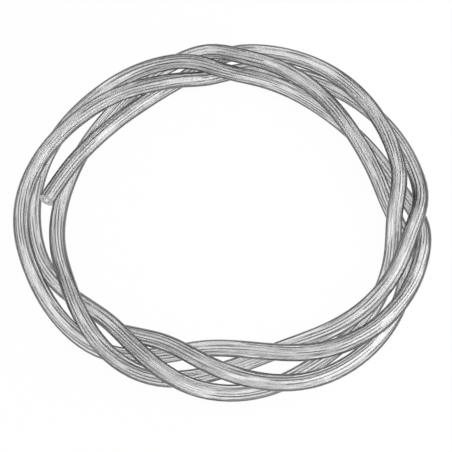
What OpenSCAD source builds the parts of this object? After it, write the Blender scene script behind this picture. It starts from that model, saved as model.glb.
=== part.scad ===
// Coil of clear vinyl brewing hose: one length of thick-walled tube, wound in loose turns
// that twist round each other like the strands of a wreath. It lies flat on a table.
// Millimetres, +Z up. The origin is under the middle of the coil, on the table.

/* [Tube] */
// Outside diameter of the tube
tube_od = 11.11; // [9:0.01:12]
// Diameter of the bore, which a hose barb pushes into
tube_bore = 4.76; // [3:0.01:7]
// Length of each square-cut, straight end piece
end_length = 11.5; // [8:0.5:20]

/* [Coil] */
// Radius of the ring that the bundle of turns follows
ring_radius = 122.9; // [110:0.1:150]
// How far the ring is stretched along X and drawn in along Y
ring_oval = 2; // [0:0.5:4]
// Height of the ring's three soft corners
corner_height = 3.5; // [0:0.5:5]
// Plan angle of one of the soft corners
corner_angle = 80; // [60:1:100]
// Plan angle where the tucked-in end leaves its straight piece
start_angle = 243; // [240:1:252]
// Plan angle where the free end's straight piece begins, counted over all the turns
end_angle = 1608; // [1590:1:1620]

/* [Bundle] */
// Room between turns that lie on each other
turn_gap = 1.5; // [1.5:0.1:4]
// Extra room between turns that lie side by side
side_room = 3.6; // [3:0.1:8]
// How much the bundle widens and narrows round the ring, three times in a lap
side_swell = 2.8; // [0:0.1:3]
// Plan angle of one of the three wide places
swell_angle = 38; // [20:1:60]
// Plan angle where the tube crosses over to the free places beside its first turns
crossing_angle = 922; // [915:1:929]
// Plan angle that this crossing takes
crossing_span = 56; // [40:1:64]

/* [Hidden] */

// Rings in one turn of the faceted tube, its sides, and route points between two rings
rings_per_turn = 24;
tube_sides = 6;
points_per_ring = 6;
// The ends are true round tubes
end_facets = 96;
// Length of straight tube in the coiled run before each end piece
lead_length = tube_od;
// The underside is cut flat, a tenth of the tube's diameter deep, where it lies on the table
flat_depth = tube_od / 10;
// A cutting tool passes this far beyond what it cuts
overcut = 1;
// The faceted bore's corners stand out so that what slides into the round ends slides on
bore_corner = tube_bore / 2 / cos(180 / tube_sides);
// Half the width of the tube's bundle, up and down, and its width sideways before it swells
bundle_rise = (tube_od + turn_gap) / sqrt(2);
bundle_reach = bundle_rise + side_room;

// The turns twist round each other by ten quarter turns in every lap, quick in some places
// and slow in others. Each number is a plan angle where the next quarter turn is complete.
quarter_angles = [9, 89, 101, 131, 200, 221, 240, 263, 298, 351];
quarters_per_lap = len(quarter_angles);
// The twist is averaged over this angle to each side, which rounds off every change of pace
twist_ease = 16;
quarter_table = [for (i = [-quarters_per_lap:2 * quarters_per_lap - 1])
    let (lap = floor(i / quarters_per_lap))
    [quarter_angles[i - lap * quarters_per_lap] + 360 * lap, i]];

// Quarter turns of twist gathered when the route has reached a plan angle
function quarters(angle) =
    let (lap = floor(angle / 360), eased = [for (k = [-3:3])
        (1 + cos(45 * k)) / 8 * lookup(angle - 360 * lap + twist_ease * k / 4, quarter_table)])
    quarters_per_lap * lap + eased * [for (value = eased) 1];

// 0 before the crossing and 1 after it, smooth between
function crossed(angle) =
    let (u = min(1, max(0, (angle - crossing_angle) / crossing_span + 0.5)))
    u * u * (3 - 2 * u);

// Place of the tube's centre line at a plan angle. The phase goes round the bundle's section:
// 0 is outermost, 90 lowest, 180 innermost and 270 on top.
function place(angle) =
    let (phase = 90 * (quarters(angle) - crossed(angle)),
        ring = ring_radius + ring_oval * cos(2 * angle)
            + corner_height * cos(3 * (angle - corner_angle)),
        reach = bundle_reach + side_swell * cos(3 * (angle - swell_angle)),
        radius = ring + reach * cos(phase),
        height = tube_od / 2 - flat_depth + bundle_rise * (1 - sin(phase)))
    [radius * cos(angle), radius * sin(angle), height];

function unit(v) = v / norm(v);
function heading(angle) = unit(place(angle + 0.5) - place(angle - 0.5));

// The coiled run's centre line with its headings, in steps fine enough to measure on. A
// straight lead of one tube diameter stands at each end of it.
ring_count = round((end_angle - start_angle) * rings_per_turn / 360);
point_count = ring_count * points_per_ring;
wound_angles = [for (i = [0:point_count])
    start_angle + (end_angle - start_angle) * i / point_count];
wound_points = [for (angle = wound_angles) place(angle)];
wound_headings = [for (angle = wound_angles) heading(angle)];
start_heading = wound_headings[0];
end_heading = wound_headings[point_count];
raw_route = concat([wound_points[0] - lead_length * start_heading], wound_points,
    [wound_points[point_count] + lead_length * end_heading]);
headings = concat([start_heading], wound_headings, [end_heading]);

// The route is moved so that its middle, in plan, is over the origin
function middle(values) = (min(values) + max(values)) / 2;
route_middle = [middle([for (p = raw_route) p.x]), middle([for (p = raw_route) p.y]), 0];
route = [for (p = raw_route) p - route_middle];
last = len(route) - 1;
tucked_face = route[0] - end_length * start_heading;
free_face = route[last] + end_length * end_heading;

// One ring of the tube's wall: corners round a centre, square to the heading
function ring_corners(centre, along, radius) =
    let (side = unit(cross(along, [0, 0, 1])), up = cross(side, along))
    [for (k = [0:tube_sides - 1]) let (a = 360 * (k + 0.5) / tube_sides)
        centre + radius * (cos(a) * side + sin(a) * up)];

ring_index = concat([0], [for (i = [0:ring_count]) 1 + i * points_per_ring], [last]);
ring_total = len(ring_index);
outer_corners = [for (i = ring_index) each ring_corners(route[i], headings[i], tube_od / 2)];
inner_corners = [for (i = ring_index) each ring_corners(route[i], headings[i], bore_corner)];

// Two triangles for each side of each step of a wall, turned inside out for the bore
function wall_faces(first, inside) = [
    for (i = [0:ring_total - 2], k = [0:tube_sides - 1])
        let (a = first + i * tube_sides + k,
            b = first + i * tube_sides + (k + 1) % tube_sides,
            c = a + tube_sides,
            d = b + tube_sides)
        each inside ? [[a, c, b], [b, c, d]] : [[a, b, c], [b, d, c]]];

// The square end face of ring i, between the outer wall and the bore
function end_faces(i, facing_back) = [
    for (k = [0:tube_sides - 1])
        let (inner_first = len(outer_corners),
            a = i * tube_sides + k,
            b = i * tube_sides + (k + 1) % tube_sides,
            c = inner_first + a,
            d = inner_first + b)
        each facing_back ? [[a, c, b], [b, c, d]] : [[a, b, c], [b, d, c]]];

// Least gap of the coiled run to itself: from each route point to the line through each point
// that is at least half a lap away and beside it
half_lap = rings_per_turn * points_per_ring / 2;
step_length = norm(route[2] - route[1]) * 2;
side_gaps = [for (i = [0:last - half_lap], j = [i + half_lap:last])
    let (v = route[j] - route[i])
    if (norm(v) < 2 * tube_od)
        let (along = v * headings[j])
        if (abs(along) < step_length) norm(v - along * headings[j]) - tube_od];
route_length = 2 * end_length
    + [for (i = [1:last]) norm(route[i] - route[i - 1])] * [for (i = [1:last]) 1];
echo(least_gap_to_itself = min(side_gaps), whole_length = route_length);
echo(free_face = free_face, free_heading = end_heading);
echo(tucked_face = tucked_face, tucked_heading = -start_heading);

// The wound tube with its bore, cut flat where it lies on the table
module coiled_run() {
    span = 2 * (ring_radius + bundle_reach + corner_height + ring_oval + tube_od);
    color([0.86, 0.87, 0.88, 0.6])
    difference() {
        polyhedron(
            points = concat(outer_corners, inner_corners),
            faces = concat(
                wall_faces(0, false),
                wall_faces(len(outer_corners), true),
                end_faces(0, true),
                end_faces(ring_total - 1, false)));
        translate([-span / 2, -span / 2, -flat_depth - overcut])
            cube([span, span, flat_depth + overcut]);
    }
}

// A straight, square-cut piece of tube from a foot, along a heading
module end_piece(foot, along) {
    translate(foot)
    rotate([0, acos(along.z), atan2(along.y, along.x)])
    color([0.86, 0.87, 0.88, 0.6])
    difference() {
        cylinder(d = tube_od, h = end_length, $fn = end_facets);
        translate([0, 0, -overcut])
            cylinder(d = tube_bore, h = end_length + 2 * overcut, $fn = end_facets);
    }
}

module tucked_end() { end_piece(route[0], -start_heading); }

module free_end() { end_piece(route[last], end_heading); }

coiled_run();
tucked_end();
free_end();
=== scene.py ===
# %% [markdown]
# # A coil of clear vinyl hose
# The object is one length of thick-walled, clear vinyl hose, as a brewer pushes it onto the barb
# of a kettle, a pump or a chiller. It has been wound by hand into a few loose turns, and each turn
# is passed under and over the others, so the coil holds together like a wreath with nothing tied
# round it. This lesson builds the hose as one hollow tube, gives it a glassy finish that shows
# the bore inside, and lays it on a white floor.

# %% Load the imported model, set its meshes in world space and drop the rest
import math

import bmesh
import bpy
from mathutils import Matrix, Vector


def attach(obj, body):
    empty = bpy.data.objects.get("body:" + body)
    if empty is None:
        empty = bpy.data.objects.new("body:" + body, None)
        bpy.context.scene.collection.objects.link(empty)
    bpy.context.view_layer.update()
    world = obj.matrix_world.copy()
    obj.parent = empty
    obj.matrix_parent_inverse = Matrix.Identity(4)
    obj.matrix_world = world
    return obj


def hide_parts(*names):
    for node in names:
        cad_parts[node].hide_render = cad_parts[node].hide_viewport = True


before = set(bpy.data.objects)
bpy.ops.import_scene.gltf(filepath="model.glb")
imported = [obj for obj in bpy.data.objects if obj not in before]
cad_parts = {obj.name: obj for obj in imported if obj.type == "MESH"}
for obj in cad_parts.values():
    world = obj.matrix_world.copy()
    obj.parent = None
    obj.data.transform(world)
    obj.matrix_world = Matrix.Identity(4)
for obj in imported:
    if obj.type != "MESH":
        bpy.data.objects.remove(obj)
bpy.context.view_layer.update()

MM = 0.001

# %% [markdown]
# ## The camera
# The coil is seen from above and in front, 60 degrees up, and from just under a metre away, so
# the far side is only a little smaller than the near side. A long lens from that distance keeps
# the ring round. The camera is aimed low in the coil, a little in front of the ring's middle, and
# needs no lens shift.

# %% Set up the camera
lens_width = 36.0
frame_pixels = 452
focal_pixels = 1362.0
camera_rise = math.radians(60)
camera_distance = 930 * MM
ring_middle = Vector((2.59, -0.94, 12.0)) * MM
aim_point = Vector((2.59, -9.25, 7.2)) * MM

camera_data = bpy.data.cameras.new("camera")
camera_data.sensor_width = lens_width
camera_data.lens = lens_width * focal_pixels / frame_pixels
camera_data.clip_start = 0.01
camera_data.clip_end = 50
camera = bpy.data.objects.new("camera", camera_data)
bpy.context.collection.objects.link(camera)
back_and_up = Vector((0, -math.cos(camera_rise), math.sin(camera_rise)))
camera.location = ring_middle + camera_distance * back_and_up
camera.rotation_euler = (aim_point - camera.location).to_track_quat("-Z", "Y").to_euler()
bpy.context.scene.camera = camera
print("lens in mm:", round(camera_data.lens, 1))

# %% [markdown]
# ## The hose's route
# A hose of this kind is sold by length, here 10 feet, and is wound as it comes off the reel. Its
# middle line is worked out from a few lengths and angles instead of being drawn by hand, because
# the turns must pass each other everywhere without cutting in. Going once round the ring, the
# hose also goes once round the middle of the bundle, through four places: outside, below, inside
# and on top. So the turns fill the four corners of a square and stay a hose apart. The angles
# where the hose passes each quarter of that square come from the same numbers as in the model's
# own source.

# %% Name the hose's sizes
tube_od = 11.11 * MM
tube_bore = 4.76 * MM
end_length = 11.5 * MM
lead_length = tube_od
ring_radius = 122.9 * MM
ring_oval = 2 * MM
corner_height = 3.5 * MM
corner_angle = 80
start_angle = 243
end_angle = 1608
turn_gap = 1.5 * MM
side_room = 3.6 * MM
side_swell = 2.8 * MM
swell_angle = 38
crossing_angle = 922
crossing_span = 56
flat_depth = tube_od / 10
bundle_rise = (tube_od + turn_gap) / math.sqrt(2)
bundle_reach = bundle_rise + side_room
print("turns:", round((end_angle - start_angle) / 360, 2))

# %% Count the quarters of the bundle that the hose has passed
quarter_angles = [9, 89, 101, 131, 200, 221, 240, 263, 298, 351]
quarters_per_lap = len(quarter_angles)
twist_ease = 16
ease_steps = 4


def cosine(degrees):
    return math.cos(math.radians(degrees))


def sine(degrees):
    return math.sin(math.radians(degrees))


def quarters_at(angle):
    """Quarters of the bundle passed by this angle, read straight between the listed angles."""
    lap, rest = divmod(angle, 360)
    table = []
    for i in range(-quarters_per_lap, 2 * quarters_per_lap):
        laps, quarter = divmod(i, quarters_per_lap)
        table.append((quarter_angles[quarter] + 360 * laps, i))
    for (low, count), (high, _) in zip(table, table[1:]):
        if low <= rest <= high:
            return quarters_per_lap * lap + count + (rest - low) / (high - low)


def quarters(angle):
    """The same count with its corners eased, so that the hose never bends sharply."""
    total = 0
    for k in range(1 - ease_steps, ease_steps):
        weight = (1 + cosine(180 * k / ease_steps)) / (2 * ease_steps)
        total += weight * quarters_at(angle + twist_ease * k / ease_steps)
    return total


print("quarters passed on the way:", round(quarters(end_angle) - quarters(start_angle), 1))

# %% Find the hose's place at any angle
half_step = 0.5


def crossed(angle):
    """Goes from 0 to 1 where one turn drops back a quarter and crosses the next."""
    u = min(max((angle - crossing_angle) / crossing_span + 0.5, 0), 1)
    return u * u * (3 - 2 * u)


def place(angle):
    """A point on the hose's middle line."""
    phase = 90 * (quarters(angle) - crossed(angle))
    ring = ring_radius + ring_oval * cosine(2 * angle)
    ring += corner_height * cosine(3 * (angle - corner_angle))
    reach = bundle_reach + side_swell * cosine(3 * (angle - swell_angle))
    radius = ring + reach * cosine(phase)
    height = tube_od / 2 - flat_depth + bundle_rise * (1 - sine(phase))
    return Vector((radius * cosine(angle), radius * sine(angle), height))


def heading(angle):
    """The way the hose points, from a little before a place to a little after it."""
    return (place(angle + half_step) - place(angle - half_step)).normalized()


highest = max(place(angle).z for angle in range(start_angle, end_angle))
print("highest place of the middle line in mm:", round(highest / MM, 1))

# %% Lay the middle line from one cut end to the other
steps_per_turn = 144
point_count = round((end_angle - start_angle) * steps_per_turn / 360)
steps = [start_angle + (end_angle - start_angle) * i / point_count for i in range(point_count + 1)]
wound = [place(angle) for angle in steps]
start_heading, end_heading = heading(start_angle), heading(end_angle)
route = [wound[0] - lead_length * start_heading] + wound + [wound[-1] + lead_length * end_heading]
middle = Vector(
    [(min(p[i] for p in route) + max(p[i] for p in route)) / 2 for i in (0, 1)] + [0]
)
route = [p - middle for p in route]
tucked_face = route[0] - end_length * start_heading
free_face = route[-1] + end_length * end_heading
middle_line = [tucked_face] + route + [free_face]
hose_length = sum((b - a).length for a, b in zip(middle_line, middle_line[1:]))
print("hose length in m:", round(hose_length, 5), "points:", len(middle_line))

# %% [markdown]
# ## The tube
# The hose is extruded: soft vinyl is pushed through a ring-shaped die, so the outside and the bore
# are two skins with clear plastic between them. A curve with a bevel could make the outside, but
# glass and clear plastic only look right when both skins are real, so the tube is made in mesh
# code. At each point of the middle line one ring of points is set round it for the outside and
# one for the bore. The line never stands upright, so "sideways" and "up" are found at each point
# from the world's own up, and the rings never twist. Where the hose lies on the floor it is
# flattened a little, as a soft hose is.

# %% Set the tube's section
sides = 48
outer_radius = tube_od / 2
bore_radius = tube_bore / 2
outer_rim = 0.25 * MM
bore_rim = 0.12 * MM
rim_steps = 4


def rim_profile():
    """(radius, distance back from the cut face) from the outer skin over the face to the bore."""
    points = []
    for i in range(rim_steps + 1):
        turn = 90 * i / rim_steps
        radius = outer_radius - outer_rim * (1 - cosine(turn))
        points.append((radius, outer_rim * (1 - sine(turn))))
    for i in range(rim_steps + 1):
        turn = 90 * i / rim_steps
        radius = bore_radius + bore_rim * (1 - sine(turn))
        points.append((radius, bore_rim * (1 - cosine(turn))))
    return points


print("rim rings at each end:", len(rim_profile()))

# %% Set one ring of points round the middle line
def ring_points(centre, along, radius):
    """One ring of points round the middle line, pressed flat where it would pass the floor."""
    across = along.cross(Vector((0, 0, 1))).normalized()
    up = across.cross(along)
    ring = []
    for i in range(sides):
        turn = 360 * i / sides
        point = centre + radius * (cosine(turn) * across + sine(turn) * up)
        ring.append(Vector((point.x, point.y, max(point.z, 0.0))))
    return ring


print("points in a ring:", len(ring_points(free_face, end_heading, outer_radius)))

# %% Go along the outside to the far end, and back through the bore
headings = [start_heading, start_heading]
headings += [(b - a).normalized() for a, b in zip(route[:-2], route[2:])]
headings += [end_heading, end_heading]
stations = list(zip(middle_line, headings))
first, last = stations[0], stations[-1]
run = [0.0]
for a, b in zip(middle_line, middle_line[1:]):
    run.append(run[-1] + (b - a).length)
between_ends = list(zip(stations, run))[1:-1]
loops, distances, radii = [], [], []


def add_loop(centre, along, radius, distance):
    loops.append(ring_points(centre, along, radius))
    distances.append(distance)
    radii.append(radius)


for (centre, along), distance in between_ends:
    add_loop(centre, along, outer_radius, distance)
outer_loops = len(loops)
for radius, back in rim_profile():
    add_loop(last[0] - back * last[1], last[1], radius, run[-1] - back)
for (centre, along), distance in reversed(between_ends):
    add_loop(centre, along, bore_radius, distance)
for radius, back in reversed(rim_profile()):
    add_loop(first[0] + back * first[1], first[1], radius, run[0] + back)
print("rings along the outside and in all:", outer_loops, len(loops))

# %% Skin the rings
outside_index = 0
bore_index = 1
cut_index = 2
mesh = bmesh.new()
place_on_section = mesh.verts.layers.float_vector.new("lay")
rows = []
for loop, distance, radius in zip(loops, distances, radii):
    row = []
    for i, point in enumerate(loop):
        vert = mesh.verts.new(point)
        turn = 360 * i / sides
        vert[place_on_section] = Vector((radius * cosine(turn), radius * sine(turn), distance))
        row.append(vert)
    rows.append(row)
far_cut = outer_loops + rim_steps
near_cut = len(rows) - rim_steps - 2


def finish_index(strip):
    """Which finish a strip of faces takes: a cut face, the bore between them or the outside."""
    if strip in (far_cut, near_cut):
        return cut_index
    return bore_index if far_cut < strip < near_cut else outside_index


for strip, (row, following) in enumerate(zip(rows, rows[1:] + rows[:1])):
    for i in range(sides):
        j = (i + 1) % sides
        face = mesh.faces.new((row[i], row[j], following[j], following[i]))
        face.smooth = True
        face.material_index = finish_index(strip)
bmesh.ops.recalc_face_normals(mesh, faces=mesh.faces)
hose_mesh = bpy.data.meshes.new("clear_hose")
mesh.to_mesh(hose_mesh)
mesh.free()
hose = bpy.data.objects.new("clear_hose", hose_mesh)
bpy.context.collection.objects.link(hose)
print("faces in the hose:", len(hose_mesh.polygons))

# %% Say what the hose is
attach(hose, "root")
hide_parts("coiled_run", "tucked_end", "free_end")

# %% [markdown]
# ## Shader maths in Python's own signs
# A material in Blender is a net of nodes. Joining them by hand in code is long and hard to read,
# so a small class wraps one output of a node. Adding or multiplying two of these wires makes the
# Math node that does it. Every other node comes from one method of the finish, which takes the
# kind of node, its settings, and the values or wires for its sockets.

# %% Wrap a socket, so that expressions make nodes
class Wire:
    """One output of a node. Python's signs on it add Math nodes."""

    def __init__(self, finish, socket):
        self.finish, self.socket = finish, socket

    def maths(self, operation, first, second):
        return self.finish.add(
            "ShaderNodeMath", {"operation": operation}, {0: first, 1: second}
        )

    def __add__(self, other):
        return self.maths("ADD", self, other)

    def __radd__(self, other):
        return self.maths("ADD", other, self)

    def __rsub__(self, other):
        return self.maths("SUBTRACT", other, self)

    def __mul__(self, other):
        return self.maths("MULTIPLY", self, other)

    def __rmul__(self, other):
        return self.maths("MULTIPLY", other, self)

    def __pow__(self, other):
        return self.maths("POWER", self, other)


# %% Add every other node with one method
class Finish:
    """The nodes of one material or of the world."""

    def __init__(self, owner):
        owner.use_nodes = True
        self.owner, self.tree = owner, owner.node_tree
        self.tree.nodes.clear()

    def add(self, kind, settings=None, sockets=None, out=0):
        node = self.tree.nodes.new(kind)
        for name, value in (settings or {}).items():
            if name == "stops":
                ramp = node.color_ramp.elements
                while len(ramp) < len(value):
                    ramp.new(1)
                for stop, (position, grey) in zip(ramp, value):
                    stop.position, stop.color = position, (grey, grey, grey, 1)
            else:
                setattr(node, name, value)
        for name, value in (sockets or {}).items():
            if isinstance(value, Wire):
                self.tree.links.new(value.socket, node.inputs[name])
            else:
                node.inputs[name].default_value = value
        return Wire(self, node.outputs[out]) if node.outputs else node


def light_path(finish, name):
    return finish.add("ShaderNodeLightPath", out=name)


# %% [markdown]
# ## Clear vinyl
# Soft clear vinyl bends light a little more than window glass does. That is why the bore looks
# wider than it is, and why a clear hose on white shows dark lines along its edges: there the
# light has come a long way through the wall, from far out to the side. Here those dark edges are
# painted shade: a skin's colour is tinted darker where it is seen from more than about 50 degrees
# off square, which the Layer Weight node's Facing output tells. The die leaves fine lines along
# the hose, which stand up a little, so the gloss and the view through the wall break into
# streaks. Their colour is also painted darker, as painted shade for the dark lines that their
# bending would show. They come from a sine wave round the hose. Noise that is drawn out along it
# bends the lines, and makes the painted shade dark on some stretches of them and leaves others
# clear. Each point of the mesh carries its place on the hose's own round section and its distance
# along it, so lines and noise follow the hose. A small part of each skin is milky instead of
# clear, and catches the lamps. A glassy surface would block the lamps' light, so rays that look
# for a lamp meet a pale see-through shader instead, and the floor under the hose stays lit.

# %% Draw lines along the hose
streak_detail = 2.0
streak_roughness = 0.5
die_line_count = 17
die_line_sharpness = 1.8
die_line_wander = 7.0


def streaks(finish, lay, stretch, stops):
    """Noise drawn out along the hose, as a grey from 0 to 1."""
    place_on_hose = finish.add(
        "ShaderNodeVectorMath", {"operation": "MULTIPLY"}, {0: lay, 1: stretch}
    )
    noise = finish.add(
        "ShaderNodeTexNoise",
        {"noise_dimensions": "3D"},
        {
            "Vector": place_on_hose,
            "Scale": 1.0,
            "Detail": streak_detail,
            "Roughness": streak_roughness,
        },
    )
    return finish.add("ShaderNodeValToRGB", {"stops": stops}, {"Fac": noise})


def die_lines(finish, lay, wander):
    """Fine lines along the hose, evenly round it, from 0 between them to 1 on them."""
    across = finish.add("ShaderNodeSeparateXYZ", {}, {"Vector": lay}, out="X")
    up = finish.add("ShaderNodeSeparateXYZ", {}, {"Vector": lay}, out="Y")
    turn = finish.add("ShaderNodeMath", {"operation": "ARCTAN2"}, {0: up, 1: across})
    bent_turn = die_line_count * turn + die_line_wander * wander
    wave = finish.add("ShaderNodeMath", {"operation": "SINE"}, {0: bent_turn})
    return (0.5 + 0.5 * wave) ** die_line_sharpness


print("die lines every", round(math.pi * tube_od / MM / die_line_count, 1), "mm round the hose")

# %% Choose what both skins share
vinyl_bend = 1.53
see_through = 0.88
clear_tint = (1.0, 1.0, 1.0, 1)
# painted shade: the dark colour that the skins take edge-on and on the die lines
painted_shade_tint = (0.002, 0.002, 0.003, 1)
shadow_tint = (0.72, 0.72, 0.73, 1)
relief_strength = 0.35
relief_depth = 0.3 * MM
wander_stretch = (60, 60, 9)
wander_stops = [(0.3, 0), (0.7, 1)]
strength_stretch = (300, 300, 30)
strength_stops = [(0.43, 0.0), (0.51, 1)]
print("milky share of a skin:", round(1 - see_through, 2))

# %% Make one skin of the hose
def vinyl_skin(name, painted_edge_shade_stops, painted_line_shade, haze):
    """One skin, lined along its length. The stops set its painted shade, square to edge-on."""
    skin = Finish(bpy.data.materials.new(name))
    lay = skin.add("ShaderNodeAttribute", {"attribute_name": "lay"}, out="Vector")
    wander = streaks(skin, lay, wander_stretch, wander_stops)
    strength = streaks(skin, lay, strength_stretch, strength_stops)
    lines = die_lines(skin, lay, wander)
    # painted shade: the skin's colour darkens where it is seen edge-on
    edge_on = skin.add("ShaderNodeLayerWeight", {}, {"Blend": 0.5}, out="Facing")
    painted_shade_at_edges = skin.add("ShaderNodeValToRGB", {"stops": painted_edge_shade_stops}, {"Fac": edge_on})
    # painted shade on the die lines, darker on some stretches and clear on others
    clear_of_painted_shade = painted_shade_at_edges * (1 - painted_line_shade * lines * strength)
    colour_with_painted_shade = skin.add(
        "ShaderNodeMix", {"data_type": "RGBA"}, {0: clear_of_painted_shade, 6: painted_shade_tint, 7: clear_tint}, out=2
    )
    relief = skin.add(
        "ShaderNodeBump",
        {},
        {"Strength": relief_strength, "Distance": relief_depth, "Height": lines},
    )
    glassy = skin.add(
        "ShaderNodeBsdfPrincipled",
        {},
        {
            "Base Color": colour_with_painted_shade,
            "Roughness": haze * (0.5 + strength),
            "IOR": vinyl_bend,
            "Transmission Weight": see_through,
            "Normal": relief,
        },
    )
    let_through = skin.add("ShaderNodeBsdfTransparent", {}, {"Color": shadow_tint})
    body = skin.add(
        "ShaderNodeMixShader",
        {},
        {0: light_path(skin, "Is Shadow Ray"), 1: glassy, 2: let_through},
    )
    skin.add("ShaderNodeOutputMaterial", {}, {"Surface": body})
    return skin.owner


# %% Give the hose its outside and its bore
# painted shade of each skin from square (0) to edge-on (1): 1 keeps it clear, 0 makes it dark
outer_painted_edge_shade_stops = [(0.0, 1.0), (0.33, 1.0), (0.45, 0.02), (0.9, 0.0), (1.0, 0.05)]
# how deep the painted shade on the die lines is, outside and in the bore
outer_painted_line_shade = 1.0
outer_haze = 0.05
bore_painted_edge_shade_stops = [(0.0, 1.0), (0.32, 1.0), (0.42, 0.1), (0.7, 0.0), (1.0, 0.0)]
bore_painted_line_shade = 0.3
bore_haze = 0.02
outside = vinyl_skin("clear vinyl outside", outer_painted_edge_shade_stops, outer_painted_line_shade, outer_haze)
bore = vinyl_skin("clear vinyl bore", bore_painted_edge_shade_stops, bore_painted_line_shade, bore_haze)
hose.data.materials.append(outside)
hose.data.materials.append(bore)
print("skins:", [material.name for material in hose.data.materials])

# %% [markdown]
# ## The cut faces
# A knife leaves the end of a vinyl hose square but not polished. The cut is frosted, with fine
# marks across it, and looks whiter than the clear wall behind it. So each end's flat ring has a
# finish of its own, which lets little light through and is much rougher.

# %% Make the cut faces
cut_colour = (0.93, 0.93, 0.94, 1)
knife_stretch = (3000, 500, 1)
knife_detail = 3.0
knife_relief = 0.4
knife_depth = 0.1 * MM
least_roughness = 0.35
roughness_of_marks = 0.3
cut_see_through = 0.15

cut = Finish(bpy.data.materials.new("knife cut vinyl"))
cut_lay = cut.add("ShaderNodeAttribute", {"attribute_name": "lay"}, out="Vector")
knife_marks = cut.add(
    "ShaderNodeTexNoise",
    {"noise_dimensions": "3D"},
    {
        "Vector": cut.add(
            "ShaderNodeVectorMath", {"operation": "MULTIPLY"}, {0: cut_lay, 1: knife_stretch}
        ),
        "Scale": 1.0,
        "Detail": knife_detail,
    },
)
cut_relief = cut.add(
    "ShaderNodeBump",
    {},
    {"Strength": knife_relief, "Distance": knife_depth, "Height": knife_marks},
)
frosted = cut.add(
    "ShaderNodeBsdfPrincipled",
    {},
    {
        "Base Color": cut_colour,
        "Roughness": least_roughness + roughness_of_marks * knife_marks,
        "IOR": vinyl_bend,
        "Transmission Weight": cut_see_through,
        "Normal": cut_relief,
    },
)
cut.add("ShaderNodeOutputMaterial", {}, {"Surface": frosted})
hose.data.materials.append(cut.owner)
print("nodes in the cut face's finish:", len(cut.tree.nodes))

# %% [markdown]
# ## The floor
# The coil lies on a plain white sheet. A matt floor alone would come out pale grey, and turning
# the lamps up would burn out the hose. So the camera sees the floor almost wholly as plain white,
# and rays that come through the hose or off its gloss see only that. For all other light it is a
# matt surface, which takes the hose's soft shadow, and a trace of that shows to the camera.

# %% Make the floor
floor_half = 3.0
floor_drop = 0.2 * MM
white_to_camera = 0.97
white_through_hose = 1.0
floor_colour = (0.85, 0.85, 0.85, 1)
floor_roughness = 0.9
floor_gloss = 0.1

floor_mesh = bpy.data.meshes.new("floor")
signs = [(-1, -1), (1, -1), (1, 1), (-1, 1)]
corners = [(floor_half * x, floor_half * y, -floor_drop) for x, y in signs]
floor_mesh.from_pydata(corners, [], [(0, 1, 2, 3)])
floor = bpy.data.objects.new("floor", floor_mesh)
bpy.context.collection.objects.link(floor)

paper = Finish(bpy.data.materials.new("white floor"))
matt = paper.add(
    "ShaderNodeBsdfPrincipled",
    {},
    {
        "Base Color": floor_colour,
        "Roughness": floor_roughness,
        "Specular IOR Level": floor_gloss,
    },
)
plain_white = paper.add("ShaderNodeEmission", {}, {"Color": (1, 1, 1, 1), "Strength": 1.0})
share = (
    white_to_camera * light_path(paper, "Is Camera Ray")
    + white_through_hose * light_path(paper, "Is Transmission Ray")
    + white_through_hose * light_path(paper, "Is Glossy Ray")
)
paper.add(
    "ShaderNodeOutputMaterial",
    {},
    {"Surface": paper.add("ShaderNodeMixShader", {}, {0: share, 1: matt, 2: plain_white})},
)
floor.data.materials.append(paper.owner)
print("floor in m:", 2 * floor_half, "by", 2 * floor_half)

# %% [markdown]
# ## Light
# Clear things are lit by what stands round them. Soft lamps stand low at the coil's right and
# left, where they catch its fine lines from the side, and one in front lights the cut end. All
# three are wide, because a small lamp would burn out where its image lies in the gloss. They are
# weak enough that a mid grey card in the coil's middle comes out mid grey. The room is brightest
# overhead and at the horizon and greyer in between, so the hose's gloss has something to show
# from every side. The camera itself sees plain white beyond the floor.

# %% Set up the lamps
lamp_width = 0.8


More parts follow.
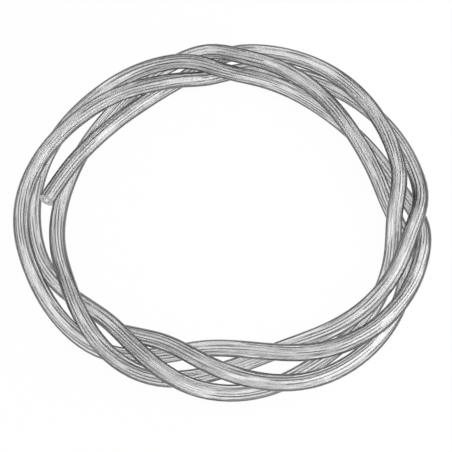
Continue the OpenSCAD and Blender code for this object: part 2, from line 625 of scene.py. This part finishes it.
def soft_lamp(name, place_of_lamp, energy):
    """A square soft box that faces the middle of the coil."""
    lamp_data = bpy.data.lights.new(name, "AREA")
    lamp_data.shape = "SQUARE"
    lamp_data.size = lamp_width
    lamp_data.energy = energy
    lamp = bpy.data.objects.new(name, lamp_data)
    lamp.location = place_of_lamp
    lamp.rotation_euler = (-Vector(place_of_lamp)).to_track_quat("-Z", "Y").to_euler()
    bpy.context.collection.objects.link(lamp)
    print(name, "in watts:", energy)


soft_lamp("right lamp", place_of_lamp=(0.5, -0.08, 0.3), energy=5.6)
soft_lamp("left lamp", place_of_lamp=(-0.5, -0.02, 0.3), energy=1.2)
soft_lamp("front lamp", place_of_lamp=(-0.45, -0.8, 0.6), energy=1.0)

# %% Set up the room
room_stops = [(0.0, 0.6), (0.35, 0.4), (0.7, 0.3), (1.0, 0.7)]

room_world = bpy.data.worlds.new("room")
bpy.context.scene.world = room_world
room = Finish(room_world)
direction = room.add("ShaderNodeTexCoord", out="Generated")
up_part = room.add("ShaderNodeSeparateXYZ", {}, {"Vector": direction}, out="Z")
room_grey = room.add("ShaderNodeValToRGB", {"stops": room_stops}, {"Fac": up_part})
dim = room.add("ShaderNodeBackground", {}, {"Color": room_grey, "Strength": 1.0})
white = room.add("ShaderNodeBackground", {}, {"Color": (1, 1, 1, 1), "Strength": 1.0})
both = room.add(
    "ShaderNodeMixShader", {}, {0: light_path(room, "Is Camera Ray"), 1: dim, 2: white}
)
room.add("ShaderNodeOutputWorld", {}, {"Surface": both})
print("greys of the room from the horizon up:", [grey for position, grey in room_stops])

# %% [markdown]
# ## Light through all the turns
# Every strand in a ray's way has four skins: the outside and the bore where the ray goes in, and
# both again where it comes out. A ray that runs out of bounces turns black, which would show as
# dirt deep in the bundle, so the limits are raised until a ray gets through nine strands. The
# lamps' light thrown back by the gloss onto other turns is left out, because it would come out as
# bright grains.

# %% Set the view, and let light pass through all the turns
skins_in_a_strand = 4
strands_in_sight = 9
skins_in_sight = skins_in_a_strand * strands_in_sight
scene = bpy.context.scene
scene.view_settings.view_transform = "Standard"
scene.cycles.max_bounces = skins_in_sight
scene.cycles.transmission_bounces = skins_in_sight
scene.cycles.transparent_max_bounces = skins_in_sight
scene.cycles.caustics_reflective = False
print("skins that a ray can get through:", skins_in_sight)
